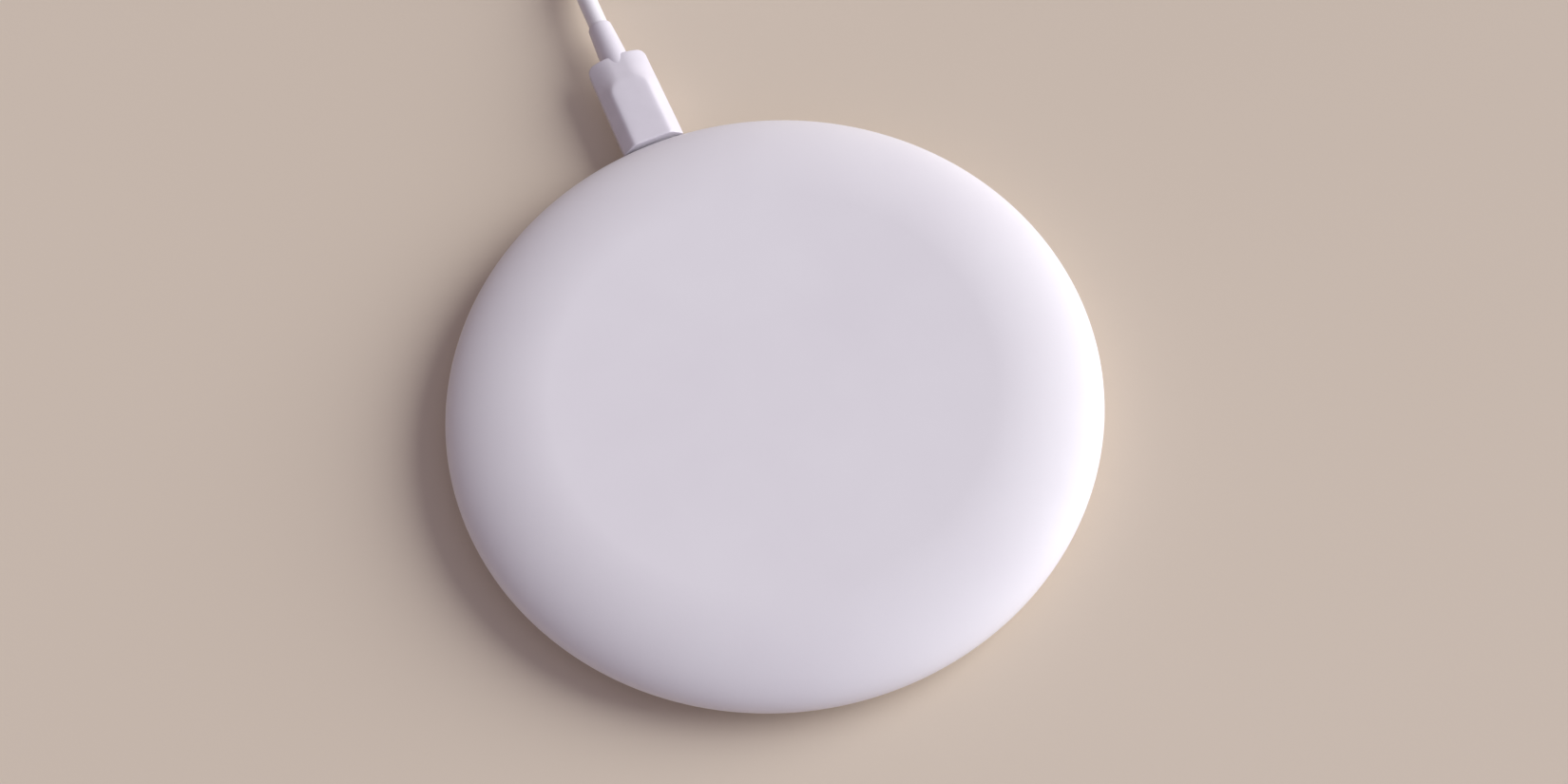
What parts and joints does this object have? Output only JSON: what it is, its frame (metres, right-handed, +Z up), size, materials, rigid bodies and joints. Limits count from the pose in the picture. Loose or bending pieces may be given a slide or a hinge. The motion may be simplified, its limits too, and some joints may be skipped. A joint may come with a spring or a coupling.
{
  "type": "wireless charging pad",
  "caption": "Round pebble-shaped wireless charging pad with a soft seamless skin, a foot ring, a USB-C socket in its rim and a plugged-in cable wound into a small tied coil.",
  "frame": {"origin": "centre of the foot ring's bottom face, on the surface that the pad stands on", "axes": "+Z up, out of the charging face; +Y towards the USB-C socket; +X to the right seen from the front"},
  "size_m": [0.1497, 0.1999, 0.012],
  "materials": {
    "silicone_white": "soft matte",
    "plastic_white": "moulded, fine matte texture",
    "grip_white": "moulded, satin",
    "cord_white": "extruded jacket, satin",
    "foot_rubber": "matte",
    "screw_steel": "zinc plated",
    "coil_copper": "enamelled stranded wire",
    "adhesive": "double-sided tissue tape",
    "ferrite": "matte sintered",
    "shield_aluminium": "mill finish",
    "sensor_black": "resin bead",
    "board_green": "solder mask",
    "chip_black": "moulded epoxy",
    "capacitor_sand": "sintered with tin ends",
    "inductor_grey": "pressed powder",
    "nickel_steel": "nickel plated",
    "thermal_grey": "silicone pad",
    "insulator_black": "glass-filled nylon",
    "insulator_white": "glass-filled nylon",
    "contact_gold": "gold flash",
    "tie_grey": "hook-and-loop strap"
  },
  "bodies": {
    "pad": {"soft_skin": "silicone_white", "top_cover": "plastic_white", "base_cover": "plastic_white", "foot_ring": "foot_rubber", "case_screws": "screw_steel", "charging_coil": "coil_copper", "coil_adhesive": "adhesive", "ferrite_plate": "ferrite", "shield_plate": "shield_aluminium", "shield_screws": "screw_steel", "coil_leads": "coil_copper", "thermistor": "sensor_black", "circuit_board": "board_green", "board_screws": "screw_steel", "controller_chip": "chip_black", "power_transistors": "chip_black", "resonant_capacitors": "capacitor_sand", "input_capacitors": "capacitor_sand", "chip_resistors": "capacitor_sand", "power_inductor": "inductor_grey", "crystal": "nickel_steel", "thermal_pad": "thermal_grey", "socket_shell": "nickel_steel", "socket_tongue": "insulator_black", "socket_contacts": "contact_gold"},
    "cable": {"plug_shell": "nickel_steel", "plug_insulator": "insulator_black", "plug_contacts": "contact_gold", "plug_board": "board_green", "plug_grip": "grip_white", "plug_strain_relief": "grip_white", "cord_lead": "cord_white", "cord_coil": "cord_white", "cord_tie": "tie_grey", "cord_tail": "cord_white", "usb_a_strain_relief": "grip_white", "usb_a_grip": "grip_white", "usb_a_shell": "nickel_steel", "usb_a_insulator": "insulator_white", "usb_a_contacts": "contact_gold"}
  },
  "joints": [
    {"name": "plug_slide", "type": "slide", "parent": "pad", "child": "cable", "axis": [0, 1, 0], "range_m": [0, 0.012]}
  ]
}
